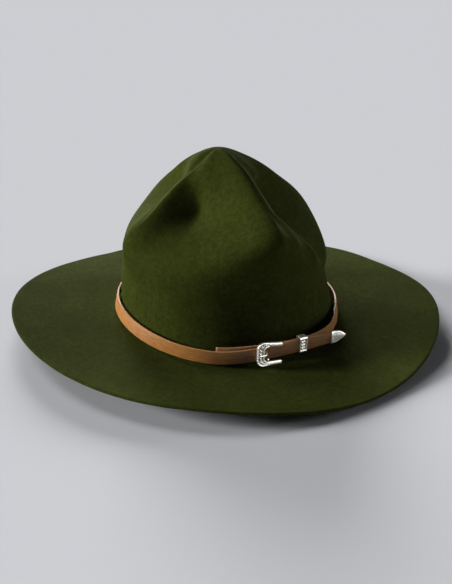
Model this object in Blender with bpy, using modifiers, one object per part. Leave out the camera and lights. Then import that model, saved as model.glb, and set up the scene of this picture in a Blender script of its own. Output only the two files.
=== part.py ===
"""A felt campaign hat: a four-dent crown, a wide soft brim and a buckled leather band.

The hat rests on its brim. +Z is up, -Y is the wearer's front, +X the wearer's left, and
the origin is under the middle of the head oval, on the surface that the brim rests on.
Lengths are in metres. Bearings are in degrees, from +X (0) towards +Y (90).
"""
from collections import namedtuple
import math

import bmesh
import bpy
import numpy as np
from mathutils import Matrix, Vector

MM = 0.001

# Felt body
FELT = 2.2 * MM                  # thickness of the felt
OVAL_HALF_WIDTH = 92.5 * MM      # head oval where the brim breaks out, across the head
OVAL_HALF_LENGTH = 95.5 * MM     # the same, front to back
BRIM_WIDTH = 88.9 * MM           # brim from the oval to its cut edge
BRIM_UNEVEN = 1.6 * MM           # the brim is this much wider in front and behind
BREAK_RADIUS = 5 * MM            # turn from the wall into the brim
FOOT_FLARE = 8 * MM              # the wall spreads towards its foot
SAG_POWER = 1.5                  # the brim leaves the foot level and bends towards its edge

# Height of the felt's top face at the crown's foot, and of its lower face at the brim's
# cut edge, at each crest and hollow, in millimetres. Felt that reaches the surface lies
# flat on it.
Wave = namedtuple("Wave", "bearing up")
FOOT_WAVE = (
    Wave(-38, 1.5),
    Wave(-5, 1.5),
    Wave(45, 9.0),
    Wave(150, 11.5),
    Wave(236, 12.5),
)
EDGE_WAVE = (
    Wave(-5, 2.5),
    Wave(45, 15.5),
    Wave(88, 6.8),
    Wave(136, -1.5),
    Wave(163, -1.5),
    Wave(244, 19.7),
    Wave(302, 14.0),
)

# The crown's axis leans this far towards one bearing at each of the profile's six levels,
# in millimetres: foot, wall, rim, slope, brow and peak
LEAN_BEARING = 224
LEAN = (0.0, 4.5, 5.0, 6.0, 9.0, 12.0)
WALL_UP = 48 * MM                # the level of the plain wall
WALL_IN = 7 * MM                 # taper of the wall up to that level
PEAK_UP = 151.5 * MM

# Pinched ridges and the dents between them, in millimetres: how far out from the leaning
# axis and how far up the profile lies at the top of the wall, half way up the slope and
# beside the peak. The left ridge is a fold with a round front edge, a groove and a crease.
# A ridge's soft rounds it. A dent's columns are the mesh columns that it spans, and its
# powers say how steeply it falls away from the ridge before it and from the one after.
Ridge = namedtuple("Ridge", "bearing rim_out rim_up slope_out slope_up brow_out brow_up soft")
Dent = namedtuple("Dent", "bearing rim_out rim_up slope_out slope_up brow_out brow_up columns "
                          "first_power second_power")
RIDGES = {
    "front": Ridge(-104, 91, 88, 52, 122, 24, 138, 0.16),
    "left_fold": Ridge(-17.5, 96, 99.5, 59, 126, 29, 144, 0.14),
    "left": Ridge(5, 93, 89, 51, 111.5, 24.5, 139, 0.04),
    "back": Ridge(87, 91.5, 90, 56.5, 122, 26, 142, 0.10),
    "right": Ridge(189, 80, 94.5, 50.5, 126.5, 24, 143.5, 0.10),
}
DENTS = {
    "front_left": Dent(-74, 88, 82.5, 46, 104, 25, 138, 18, 1.8, 1.9),
    "left_groove": Dent(-6.5, 94, 95.5, 47, 116, 25.5, 139, 7, 1.65, 1.3),
    "back_left": Dent(27, 82.5, 70, 30, 116, 27, 134, 17, 1.8, 2.2),
    "back_right": Dent(138, 82, 82.5, 38, 107.5, 23, 140.5, 17, 2.2, 2.2),
    "front_right": Dent(224, 79.5, 85, 40.5, 114, 24, 141.5, 14, 2.2, 2.2),
}
SHAPE = slice(1, 7)              # the six columns that shape the profile

# Places where the crown is pushed in further, in millimetres: the left ridge's foot and the
# dent's side below the front ridge. Each is a bell curve so wide, so tall and so deep.
Pit = namedtuple("Pit", "bearing up wide tall deep")
PITS = {
    "crease_foot": Pit(4, 97.5, 14, 10, 12),
    "front_edge": Pit(-97, 104, 25, 10, 4),
    "front_side": Pit(-90, 104, 12, 16, 6),
    "front_foot": Pit(-83, 94, 16, 10, 5),
}
PIT_AXIS = 6 * MM                # they push towards the upright line this far along the lean

# Leather band: one strap that starts behind the buckle, runs once round the foot of the
# crown and ends in the free, straight tip end. Its loose stretches stand away from the
# crown, and lift is how far its lower edge rides above its usual height.
STRAP_WIDTH = 11.1 * MM
STRAP_END_WIDTH = 9.0 * MM       # where the leather enters its metal tip
STRAP_NARROWS = 18 * MM          # length over which its free end narrows to that
STRAP = 1.6 * MM                 # thickness of the leather
STRAP_OUT = 1.0 * MM             # middle of the leather from the head oval, where it is snug
STRAP_UP = 1.3 * MM              # lower edge above the crown's foot, where it is snug
STRAP_TILT = 11                  # lean of the snug strap against the tapering wall
LOOSE_FROM = 1.4 * MM            # past this distance the strap turns upright, by twice it
Run = namedtuple("Run", "bearing away lift")
STRAP_PATH = (
    Run(-50, 1.9, 4.0),
    Run(-26, 2.9, 6.0),
    Run(-4, 8.4, 8.1),
    Run(38, 0.0, 0.0),
    Run(180, 0.0, 0.0),
    Run(224, 1.0, 0.0),
    Run(272, 1.4, 0.0),
    Run(310, 4.9, 2.2),
    Run(344, 7.7, 7.6),
)
FREE_LENGTH = 43.3 * MM          # straight leather past the last row
STRAP_STEP = 6                   # degrees between the strap's sections
FREE_SECTIONS = 6                # sections of the straight end

# Buckle: a cast C whose bowed end lies over the strap, with a bar behind the strap
BUCKLE_BEARING = 333.5           # its middle, on the strap's outer run
BUCKLE_LENGTH = 20.5 * MM
BUCKLE_WIDTH = 21.5 * MM
BUCKLE_RIM = 6.4 * MM            # metal across the bowed end
BUCKLE_ARM = 3.9 * MM            # metal across an arm
BUCKLE_THICK = 2.2 * MM
BUCKLE_LIFT = 0.9 * MM           # back of the frame above the strap's face
BUCKLE_CORNER = 6.7 * MM         # round of the bowed end's outer corners
BUCKLE_INNER_CORNER = 3.6 * MM
BUCKLE_CHAMFER = 0.5 * MM
BAR_PLACE = 11.0 * MM            # middle of the bar from the bowed end
BAR_RADIUS = 0.8 * MM
LUG_LENGTH = 2.4 * MM            # lugs from the arms down to the bar, along the strap
LUG_WIDTH = 2.2 * MM
PRONG_RADIUS = 0.75 * MM
HOLE_PLACE = 8.8 * MM            # middle of the strap's hole from the bowed end
HOLE_RADIUS = 1.5 * MM

# The prong's bends: from the bowed end, and out from the middle of the leather, in
# millimetres. It stands beside the bar, comes up through the hole and lies on the frame.
Bend = namedtuple("Bend", "ahead out")
PRONG_BENDS = (
    Bend(9.1, -2.3),
    Bend(8.9, 0.6),
    Bend(7.5, 4.2),
    Bend(5.4, 5.1),
    Bend(1.8, 5.1),
)

# Keeper loop round both runs of the strap, and the metal tip on the strap's end
KEEPER_PLACE = 31.0 * MM         # from the buckle's middle
KEEPER_LENGTH = 6.6 * MM
KEEPER_WALL = 0.7 * MM
KEEPER_DEPTH = 6.8 * MM          # outside, through both runs
KEEPER_HEADROOM = 0.3 * MM       # more room above the strap than below it
TIP_LENGTH = 14.5 * MM
TIP_WIDTH = 10.8 * MM
TIP_THICK = 3.4 * MM
TIP_POCKET = 4.0 * MM            # how far the leather reaches into the tip
TIP_ROWS = 8
TIP_POINT_POWER = 2.6            # how full the tip stays before it comes to its point
TIP_THINNING = 0.45              # share of its thickness that the tip loses at its point

# The tip's cross-section as shares of its half width and half thickness: flat behind,
# bevelled in front
Corner = namedtuple("Corner", "across out")
TIP_SECTION = (
    Corner(-1, -1),
    Corner(1, -1),
    Corner(1, 0.45),
    Corner(0.6, 1),
    Corner(-0.6, 1),
    Corner(-1, 0.45),
)

CLEARANCE = 0.35 * MM            # between touching pieces

# Mesh of the felt: rows of the brim, of its break and of the crown, the climb at which
# the crown's own curve takes over, and how closely the columns gather beside the ridges
BRIM_ROWS = 9
BREAK_ROWS = 3
CROWN_ROWS = 18
CROWN_START = 0.02
COLUMN_BUNCHING = 0.35


def smooth(x):
    """Ease from 0 to 1, level at both ends."""
    x = np.clip(x, 0.0, 1.0)
    return x * x * (3.0 - 2.0 * x)


def ease_between(place, places, values):
    """Value at a place, eased from each of a table's rows to the next."""
    value = np.full(np.shape(place), float(values[0]))
    for k in range(len(places) - 1):
        share = smooth((place - places[k]) / (places[k + 1] - places[k]))
        value = np.where(place > places[k], values[k] + (values[k + 1] - values[k]) * share, value)
    return value


def turn_from(start, bearing):
    """The same bearing, within a full turn from a start."""
    return (np.asarray(bearing, float) - start) % 360 + start


def oval_point(bearing, out=0.0):
    """Point of the head oval at a bearing, moved out along the oval's normal."""
    t = np.radians(bearing)
    normal = np.stack([OVAL_HALF_LENGTH * np.cos(t), OVAL_HALF_WIDTH * np.sin(t)], -1)
    normal = normal / np.linalg.norm(normal, axis=-1, keepdims=True)
    point = np.stack([OVAL_HALF_WIDTH * np.cos(t), OVAL_HALF_LENGTH * np.sin(t)], -1)
    return point + normal * np.asarray(out)[..., None]


def wave(rows, bearing):
    """Height at a bearing, eased from one row of a wave table to the next, all round."""
    rows = [*rows, Wave(rows[0].bearing + 360, rows[0].up)]
    turned = turn_from(rows[0].bearing, bearing)
    return ease_between(turned, [row.bearing for row in rows], [row.up for row in rows]) * MM


def brim_point(bearing, reach):
    """Top face of the brim, from the crown's foot (reach 0) to the cut edge (reach 1)."""
    width = BRIM_WIDTH - BRIM_UNEVEN * np.cos(2 * np.radians(bearing))
    plan = oval_point(bearing, BREAK_RADIUS + (width - BREAK_RADIUS) * reach)
    foot = wave(FOOT_WAVE, bearing)
    height = foot + (wave(EDGE_WAVE, bearing) + FELT - foot) * reach ** SAG_POWER
    return np.concatenate([plan, np.maximum(height, FELT)[..., None]], -1)


def fall_away(across, soft, power):
    """Share of the dent at a place between its ridge (0) and its bottom (1)."""
    across = np.clip(across, 0, 1)
    rounded = (np.sqrt(across ** 2 + soft ** 2) - soft) / (math.sqrt(1 + soft ** 2) - soft)
    return 1 - (1 - rounded) ** power


def ridges_all_round():
    """The ridges in order of bearing, with the first one again after a full turn."""
    ridges = sorted(RIDGES.values())
    return [*ridges, ridges[0]._replace(bearing=ridges[0].bearing + 360)]


def meridian_points(bearing):
    """Six control points of the crown's profile at each bearing, in plan and height.

    At a ridge or at the bottom of a dent they are that row of the table. Between the two
    they pass from one to the other, fast at the ridge and level at the dent.
    """
    ridges = ridges_all_round()
    turned = turn_from(ridges[0].bearing, bearing)
    table = np.zeros(turned.shape + (6,))
    for first, second, dent in zip(ridges[:-1], ridges[1:], sorted(DENTS.values())):
        across = smooth((turned - first.bearing) / (second.bearing - first.bearing))[..., None]
        crest = (1 - across) * first[SHAPE] + across * second[SHAPE]
        after_first = (turned - first.bearing) / (dent.bearing - first.bearing)
        before_second = (second.bearing - turned) / (second.bearing - dent.bearing)
        share = np.where(turned < dent.bearing, fall_away(after_first, first.soft, dent.first_power),
                         fall_away(before_second, second.soft, dent.second_power))[..., None]
        inside = ((turned >= first.bearing) & (turned <= second.bearing))[..., None]
        table = np.where(inside, crest + (np.array(dent[SHAPE]) - crest) * share, table)
    outs = table[..., 0::2] * MM
    ups = table[..., 1::2] * MM

    ray = np.stack([np.cos(np.radians(bearing)), np.sin(np.radians(bearing))], -1)
    lean_ray = np.array([math.cos(math.radians(LEAN_BEARING)), math.sin(math.radians(LEAN_BEARING))])
    plans = [oval_point(bearing), oval_point(bearing, -WALL_IN)]
    plans += [ray * outs[..., k, None] for k in range(3)]
    plans.append(np.zeros_like(plans[0]))
    heights = [wave(FOOT_WAVE, bearing), np.full(turned.shape, WALL_UP)]
    heights += [ups[..., k] for k in range(3)]
    heights.append(np.full(turned.shape, PEAK_UP))
    points = []
    for plan, height, lean in zip(plans, heights, LEAN):
        points.append(np.concatenate([plan + lean_ray * lean * MM, height[..., None]], -1))
    return np.stack(points)


def push_in(points):
    """The crown's points moved towards its axis by the pits, each a bell curve deep."""
    axis = np.array([math.cos(math.radians(LEAN_BEARING)), math.sin(math.radians(LEAN_BEARING))]) * PIT_AXIS
    arm = points[..., :2] - axis
    away = np.linalg.norm(arm, axis=-1)
    bearing = np.degrees(np.arctan2(arm[..., 1], arm[..., 0]))
    pushed = np.zeros(away.shape)
    for pit in PITS.values():
        across = away * np.radians(turn_from(-180, bearing - pit.bearing)) / (pit.wide * MM)
        up = (points[..., 2] - pit.up * MM) / (pit.tall * MM)
        pushed += pit.deep * MM * np.exp(-across ** 2 - up ** 2)
    share = (pushed / np.maximum(away, MM))[..., None]
    return np.concatenate([points[..., :2] - arm * share, points[..., 2:]], -1)


def crown_point(bearing, climb):
    """Outer face of the crown, from its foot (climb 0) to its peak (climb 1).

    A Catmull-Rom curve runs through the meridian's six points. It leaves the foot along
    the wall and arrives level at the peak.
    """
    points = meridian_points(bearing)
    below = 2 * points[0] - points[1]
    below[..., :2] = oval_point(bearing, WALL_IN + FOOT_FLARE)
    beyond = 2 * points[-1] - points[-2]
    beyond[..., 2] = points[-2][..., 2]
    points = np.concatenate([below[None], points, beyond[None]])
    place = np.clip(np.asarray(climb, float), 0, 1) * 5
    step = np.minimum(place.astype(int), 4)
    f = (place - step)[..., None]
    step = np.broadcast_to(step, points.shape[1:-1])
    a, b, c, d = [np.take_along_axis(points, (step + k)[None, ..., None], 0)[0] for k in range(4)]
    square = 2 * a - 5 * b + 4 * c - d
    cube = 3 * b - a - 3 * c + d
    return push_in(0.5 * (2 * b + (c - a) * f + square * f ** 2 + cube * f ** 3))


def column_bearings():
    """Bearings of the felt's columns, one on each ridge and closer together beside it."""
    ridges = ridges_all_round()
    bearings = []
    for first, second, dent in zip(ridges[:-1], ridges[1:], sorted(DENTS.values())):
        u = np.arange(dent.columns) / dent.columns
        u = u - COLUMN_BUNCHING * np.sin(2 * np.pi * u) / (2 * np.pi)
        bearings.append(first.bearing + (second.bearing - first.bearing) * u)
    return np.concatenate(bearings)


def felt_rows():
    """Rings of the felt's outer face, from the brim's cut edge to just below the peak."""
    bearings = column_bearings()
    rings = []
    for reach in np.linspace(1, 0, BRIM_ROWS + 1):
        rings.append(brim_point(bearings, np.full(bearings.shape, reach)))
    start = rings.pop()
    climbs = CROWN_START + (1 - CROWN_START) * np.arange(CROWN_ROWS) / CROWN_ROWS
    first = crown_point(bearings, np.full(bearings.shape, climbs[0]))
    corner = np.concatenate([oval_point(bearings), wave(FOOT_WAVE, bearings)[..., None]], -1)
    corner[..., 2] = np.maximum(corner[..., 2], FELT)
    for k in range(BREAK_ROWS + 1):
        f = k / BREAK_ROWS
        rings.append((1 - f) ** 2 * start + 2 * f * (1 - f) * corner + f * f * first)
    for climb in climbs[1:]:
        rings.append(crown_point(bearings, np.full(bearings.shape, climb)))
    return np.array(rings)


def make_material(name, colour, roughness, metallic=0.0):
    material = bpy.data.materials.new(name)
    material.use_nodes = True
    shader = material.node_tree.nodes["Principled BSDF"]
    shader.inputs["Base Color"].default_value = (*colour, 1)
    shader.inputs["Roughness"].default_value = roughness
    shader.inputs["Metallic"].default_value = metallic
    return material


def add_object(name, mesh, collection, material):
    piece = bpy.data.objects.new(name, mesh)
    piece.data.materials.append(material)
    collection.objects.link(piece)
    return piece


def make_felt_body(collection):
    """Crown and brim: one blocked felt, an open sheet thickened inwards."""
    rings = felt_rows()
    rows, columns, _ = rings.shape
    peak = crown_point(np.array([0.0]), np.array([1.0]))
    points = np.concatenate([rings.reshape(-1, 3), peak])
    faces = []
    for row in range(rows - 1):
        for column in range(columns):
            right = (column + 1) % columns
            faces.append((row * columns + column, row * columns + right,
                          (row + 1) * columns + right, (row + 1) * columns + column))
    for column in range(columns):
        right = (column + 1) % columns
        faces.append(((rows - 1) * columns + column, (rows - 1) * columns + right, rows * columns))
    mesh = bpy.data.meshes.new("felt_body")
    mesh.from_pydata(points.tolist(), [], faces)
    mesh.update()
    felt = add_object("felt_body", mesh, collection, make_material("olive_felt", (0.03, 0.05, 0.012), 0.95))
    wall = felt.modifiers.new("felt thickness", "SOLIDIFY")
    wall.thickness = FELT
    wall.offset = -1
    mesh.shade_smooth()
    return felt


def strap_route():
    """Sections of the strap from its hidden end to its tip end.

    Returns each section's middle, the direction along the strap, the direction out of its
    face and the direction across its width, and the bearing of each section. Round the
    crown the strap follows the oval at its table's distance, and past the table's last
    row it goes straight on.
    """
    turns = [row.bearing for row in STRAP_PATH]
    bearing = np.linspace(turns[0], turns[-1], round((turns[-1] - turns[0]) / STRAP_STEP) + 1)
    away = ease_between(bearing, turns, [row.away for row in STRAP_PATH]) * MM
    lift = ease_between(bearing, turns, [row.lift for row in STRAP_PATH]) * MM
    plan = oval_point(bearing, STRAP_OUT + away)
    low = np.maximum(wave(FOOT_WAVE, bearing), FELT) + STRAP_UP + lift
    run = plan[-1] - plan[-2]
    run = run / np.linalg.norm(run)
    steps = np.arange(1, FREE_SECTIONS + 1)[:, None] / FREE_SECTIONS
    plan = np.concatenate([plan, plan[-1] + run * FREE_LENGTH * steps])
    low = np.concatenate([low, np.full(FREE_SECTIONS, low[-1])])
    away = np.concatenate([away, np.full(FREE_SECTIONS, away[-1])])
    bearing = np.concatenate([bearing, np.full(FREE_SECTIONS, bearing[-1])])

    along = np.gradient(plan, axis=0)
    along = along / np.linalg.norm(along, axis=1, keepdims=True)
    out = np.stack([along[:, 1], -along[:, 0], np.zeros(len(along))], -1)
    along = np.concatenate([along, np.zeros((len(along), 1))], -1)
    loose = np.clip((away - LOOSE_FROM) / LOOSE_FROM, 0, 1)
    tilt = np.radians(STRAP_TILT) * (1 - loose)[:, None]
    upright = np.array([0.0, 0.0, 1.0])
    across = upright * np.cos(tilt) - out * np.sin(tilt)
    out = out * np.cos(tilt) + upright * np.sin(tilt)
    middle = np.concatenate([plan, (low + STRAP_WIDTH / 2)[:, None]], -1)
    return middle, along, out, across, bearing


def strap_widths(middle):
    """The leather's width at each section. The free end's sections narrow towards the tip."""
    left = np.linalg.norm(middle - middle[-1], axis=1) - TIP_POCKET
    left[:-FREE_SECTIONS] = STRAP_NARROWS
    share = np.clip(left / STRAP_NARROWS, 0, 1)
    return STRAP_END_WIDTH + (STRAP_WIDTH - STRAP_END_WIDTH) * share


def place_on_strap(bearing, ahead=0.0):
    """Matrix at a bearing of the strap's outer run, or further along it.

    X runs along the strap, Y up its width and Z out of its face.
    """
    middle, along, out, _, bearings = strap_route()
    length = np.concatenate([[0], np.cumsum(np.linalg.norm(np.diff(middle, axis=0), axis=1))])
    round_crown = len(bearings) - FREE_SECTIONS
    place = np.interp(bearing, bearings[:round_crown], length[:round_crown]) + ahead
    row = [np.array([np.interp(place, length, v[:, k]) for k in range(3)]) for v in (middle, along, out)]
    x = Vector(row[1]).normalized()
    z = Vector(row[2])
    z = (z - x * z.dot(x)).normalized()
    y = z.cross(x)
    matrix = Matrix((x, y, z)).transposed().to_4x4()
    matrix.translation = Vector(row[0])
    return matrix


def mesh_from_bmesh(name, shape):
    mesh = bpy.data.meshes.new(name)
    bmesh.ops.recalc_face_normals(shape, faces=shape.faces)
    shape.to_mesh(mesh)
    shape.free()
    return mesh


def add_cutter(name, mesh, matrix, cutters):
    cutter = bpy.data.objects.new(name, mesh)
    cutter.matrix_world = matrix
    cutter.hide_render = True
    cutter.display_type = "WIRE"
    cutters.objects.link(cutter)
    return cutter


def cut(piece, cutter):
    hole = piece.modifiers.new(cutter.name, "BOOLEAN")
    hole.operation = "DIFFERENCE"
    hole.object = cutter


def join(piece, other):
    joint = piece.modifiers.new(other.name, "BOOLEAN")
    joint.operation = "UNION"
    joint.object = other


def box_mesh(name, size, centre=(0, 0, 0)):
    shape = bmesh.new()
    bmesh.ops.create_cube(shape, size=1)
    bmesh.ops.scale(shape, vec=size, verts=shape.verts)
    bmesh.ops.translate(shape, vec=centre, verts=shape.verts)
    return mesh_from_bmesh(name, shape)


def rod_mesh(name, radius, length, sides, turn, centre=(0, 0, 0)):
    shape = bmesh.new()
    bmesh.ops.create_cone(shape, cap_ends=True, segments=sides, depth=length,
                          radius1=radius, radius2=radius)
    bmesh.ops.rotate(shape, cent=(0, 0, 0), matrix=turn, verts=shape.verts)
    bmesh.ops.translate(shape, vec=centre, verts=shape.verts)
    return mesh_from_bmesh(name, shape)


def make_strap(collection, cutters):
    """The leather band, a flat ribbon along its route, with the hole for the prong."""
    middle, along, out, across, _ = strap_route()
    halves = ((-1, -1), (-1, 1), (1, 1), (1, -1))
    shape = bmesh.new()
    rings = []
    for centre, face, side, wide in zip(middle, out, across, strap_widths(middle)):
        rings.append([shape.verts.new(centre + face * STRAP / 2 * h + side * wide / 2 * w)
                      for h, w in halves])
    for first, second in zip(rings[:-1], rings[1:]):
        for k in range(4):
            shape.faces.new((first[k], first[(k + 1) % 4], second[(k + 1) % 4], second[k]))
    shape.faces.new(rings[0])
    shape.faces.new(rings[-1])
    strap = add_object("leather_strap", mesh_from_bmesh("leather_strap", shape), collection,
                       make_material("tan_leather", (0.28, 0.12, 0.05), 0.7))
    hole = rod_mesh("prong_hole", HOLE_RADIUS, 3 * STRAP, 12, Matrix.Identity(3),
                    (HOLE_PLACE - BUCKLE_LENGTH / 2, 0, 0))
    cut(strap, add_cutter("prong_hole", hole, place_on_strap(BUCKLE_BEARING), cutters))
    return strap


def bowed_end(left, right, half, corner, steps):
    """Points of a U with rounded corners, from its lower arm's end to its upper arm's."""
    points = [(right, -half)]
    for k in range(steps + 1):
        t = math.radians(-90 - 90 * k / steps)
        points.append((left + corner * (1 + math.cos(t)), corner * (1 + math.sin(t)) - half))
    return points + [(x, -y) for x, y in reversed(points)]


def make_buckle(collection, cutters, silver):
    """The cast frame: a bowed C plate, with two lugs that carry the bar behind the strap."""
    half = BUCKLE_WIDTH / 2
    left = -BUCKLE_LENGTH / 2
    right = BUCKLE_LENGTH / 2
    outer = bowed_end(left, right, half, BUCKLE_CORNER, 8)
    inner = bowed_end(left + BUCKLE_RIM, right, half - BUCKLE_ARM, BUCKLE_INNER_CORNER, 5)
    back = STRAP / 2 + BUCKLE_LIFT
    shape = bmesh.new()
    face = shape.faces.new([shape.verts.new((x, y, back)) for x, y in outer + inner[::-1]])
    raised = bmesh.ops.extrude_face_region(shape, geom=[face])
    tops = [v for v in raised["geom"] if isinstance(v, bmesh.types.BMVert)]
    bmesh.ops.translate(shape, vec=(0, 0, BUCKLE_THICK), verts=tops)
    frame = add_object("buckle_frame", mesh_from_bmesh("buckle_frame", shape), collection, silver)
    frame.matrix_world = place_on_strap(BUCKLE_BEARING)
    chamfer = frame.modifiers.new("worn edges", "BEVEL")
    chamfer.width = BUCKLE_CHAMFER
    chamfer.segments = 1
    chamfer.limit_method = "ANGLE"

    bar_x = BAR_PLACE - BUCKLE_LENGTH / 2
    bar_z = -STRAP / 2 - CLEARANCE - BAR_RADIUS
    lug_y = half - BUCKLE_ARM / 2
    turn = Matrix.Rotation(math.radians(90), 3, "X")
    bar = rod_mesh("bar", BAR_RADIUS, 2 * lug_y, 10, turn, (bar_x, 0, bar_z))
    join(frame, add_cutter("bar", bar, frame.matrix_world, cutters))
    lug_height = back + BUCKLE_THICK / 2 - bar_z + BAR_RADIUS
    for name, side in (("lower_lug", -1), ("upper_lug", 1)):
        lug = box_mesh(name, (LUG_LENGTH, LUG_WIDTH, lug_height),
                       (bar_x, side * lug_y, bar_z - BAR_RADIUS + lug_height / 2))
        join(frame, add_cutter(name, lug, frame.matrix_world, cutters))
    return frame


def make_prong(collection, silver):
    """The prong: up from the bar, through the strap's hole and over the bowed end."""
    curve = bpy.data.curves.new("buckle_prong", "CURVE")
    curve.dimensions = "3D"
    curve.bevel_depth = PRONG_RADIUS
    curve.bevel_resolution = 1
    curve.use_fill_caps = True
    spline = curve.splines.new("POLY")
    spline.points.add(len(PRONG_BENDS) - 1)
    for point, bend in zip(spline.points, PRONG_BENDS):
        point.co = (bend.ahead * MM - BUCKLE_LENGTH / 2, 0, bend.out * MM, 1)
    prong = bpy.data.objects.new("buckle_prong", curve)
    curve.materials.append(silver)
    collection.objects.link(prong)
    prong.matrix_world = place_on_strap(BUCKLE_BEARING)
    return prong


def make_keeper(collection, cutters, silver):
    """The keeper: a flat metal loop round the strap's two runs, open at both ends."""
    place = place_on_strap(BUCKLE_BEARING, KEEPER_PLACE)
    front = STRAP / 2 + CLEARANCE + KEEPER_WALL
    back = front - KEEPER_DEPTH
    low = -STRAP_WIDTH / 2 - CLEARANCE - KEEPER_WALL
    high = -low + KEEPER_HEADROOM
    outer = box_mesh("keeper_loop", (KEEPER_LENGTH, high - low, front - back),
                     (0, (high + low) / 2, (front + back) / 2))
    keeper = add_object("keeper_loop", outer, collection, silver)
    keeper.matrix_world = place
    inside = box_mesh("keeper_inside", (2 * KEEPER_LENGTH, high - low - 2 * KEEPER_WALL,
                                        front - back - 2 * KEEPER_WALL),
                      (0, (high + low) / 2, (front + back) / 2))
    cut(keeper, add_cutter("keeper_inside", inside, place, cutters))
    return keeper


def make_tip(collection, cutters, silver):
    """The tip: a domed metal point with a pocket for the strap's end."""
    place = place_on_strap(STRAP_PATH[-1].bearing, FREE_LENGTH)
    start = -TIP_POCKET
    corners = len(TIP_SECTION)
    shape = bmesh.new()
    rings = []
    for k in range(TIP_ROWS):
        f = k / TIP_ROWS
        wide = TIP_WIDTH / 2 * (1 - f ** TIP_POINT_POWER)
        thick = TIP_THICK / 2 * (1 - TIP_THINNING * f ** 2)
        x = start + TIP_LENGTH * f
        rings.append([shape.verts.new((x, wide * corner.across, thick * corner.out))
                      for corner in TIP_SECTION])
    point = shape.verts.new((start + TIP_LENGTH, 0, 0))
    for first, second in zip(rings[:-1], rings[1:]):
        for k in range(corners):
            after = (k + 1) % corners
            shape.faces.new((first[k], first[after], second[after], second[k]))
    for k in range(corners):
        shape.faces.new((rings[-1][k], rings[-1][(k + 1) % corners], point))
    shape.faces.new(rings[0])
    tip = add_object("strap_tip", mesh_from_bmesh("strap_tip", shape), collection, silver)
    tip.matrix_world = place
    pocket = box_mesh("tip_pocket", (2 * (TIP_POCKET + CLEARANCE), STRAP_END_WIDTH + 2 * CLEARANCE,
                                     STRAP + 2 * CLEARANCE), (start, 0, 0))
    cut(tip, add_cutter("tip_pocket", pocket, place, cutters))
    return tip


def build():
    for piece in list(bpy.data.objects):
        bpy.data.objects.remove(piece, do_unlink=True)
    hat = bpy.data.collections.new("campaign_hat")
    cutters = bpy.data.collections.new("cutters")
    bpy.context.scene.collection.children.link(hat)
    bpy.context.scene.collection.children.link(cutters)
    silver = make_material("silver_metal", (0.75, 0.74, 0.70), 0.3, 1.0)
    make_felt_body(hat)
    make_strap(hat, cutters)
    make_buckle(hat, cutters, silver)
    make_prong(hat, silver)
    make_keeper(hat, cutters, silver)
    make_tip(hat, cutters, silver)
    return hat


build()
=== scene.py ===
"""The looks of a felt campaign hat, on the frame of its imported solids.

+Z is up, -Y is the wearer's front and +X the wearer's left. Lengths are in metres and
bearings in degrees, from +X (0) towards +Y (90).
"""

from collections import namedtuple
import math

import bpy
import numpy as np
from mathutils import Matrix, Vector


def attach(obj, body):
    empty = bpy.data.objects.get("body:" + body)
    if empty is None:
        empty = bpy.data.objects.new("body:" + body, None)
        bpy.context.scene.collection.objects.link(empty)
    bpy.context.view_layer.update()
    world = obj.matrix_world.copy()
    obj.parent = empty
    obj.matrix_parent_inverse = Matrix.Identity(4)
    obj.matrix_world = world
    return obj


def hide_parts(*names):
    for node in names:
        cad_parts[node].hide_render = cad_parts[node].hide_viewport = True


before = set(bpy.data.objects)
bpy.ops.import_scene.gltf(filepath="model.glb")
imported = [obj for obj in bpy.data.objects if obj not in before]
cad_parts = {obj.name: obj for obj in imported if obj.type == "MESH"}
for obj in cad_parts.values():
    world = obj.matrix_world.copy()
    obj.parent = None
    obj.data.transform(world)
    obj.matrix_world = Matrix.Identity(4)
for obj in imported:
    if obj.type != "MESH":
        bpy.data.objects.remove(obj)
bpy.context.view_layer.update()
scene = bpy.context.scene

# Felt body: crown and brim, blocked from one wool felt over a round form. The crown is
# pinched from four sides to a peak, with a second fold beside the left pinch, and the
# soft brim waves down to the surface under the left of the crown and at the back right.
MM = 0.001
FELT = 2.2 * MM                  # thickness of the felt
OVAL_HALF_WIDTH = 92.5 * MM      # head oval where the brim breaks out, across the head
OVAL_HALF_LENGTH = 95.5 * MM     # the same, front to back
BRIM_WIDTH = 88.9 * MM           # brim from the oval to its cut edge
BRIM_UNEVEN = 1.6 * MM           # the brim is this much wider in front and behind
BREAK_RADIUS = 5 * MM            # turn from the wall into the brim
FOOT_FLARE = 8 * MM              # the wall spreads towards its foot
SAG_POWER = 1.5                  # the brim leaves the foot level and bends towards its edge

# Height of the felt's top face at the crown's foot, and of its lower face at the brim's
# cut edge, at each crest and hollow, in millimetres
Wave = namedtuple("Wave", "bearing up")
FOOT_WAVE = (
    Wave(-38, 1.5),
    Wave(-5, 1.5),
    Wave(45, 9.0),
    Wave(150, 11.5),
    Wave(236, 12.5),
)
EDGE_WAVE = (
    Wave(-5, 2.5),
    Wave(45, 15.5),
    Wave(88, 6.8),
    Wave(136, -1.5),
    Wave(163, -1.5),
    Wave(244, 19.7),
    Wave(302, 14.0),
)

# The crown's axis leans this far towards one bearing at each of the profile's six levels,
# in millimetres: foot, wall, rim, slope, brow and peak
LEAN_BEARING = 224
LEAN = (0.0, 4.5, 5.0, 6.0, 9.0, 12.0)
WALL_UP = 48 * MM                # the level of the plain wall
WALL_IN = 7 * MM                 # taper of the wall up to that level
PEAK_UP = 151.5 * MM

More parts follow.
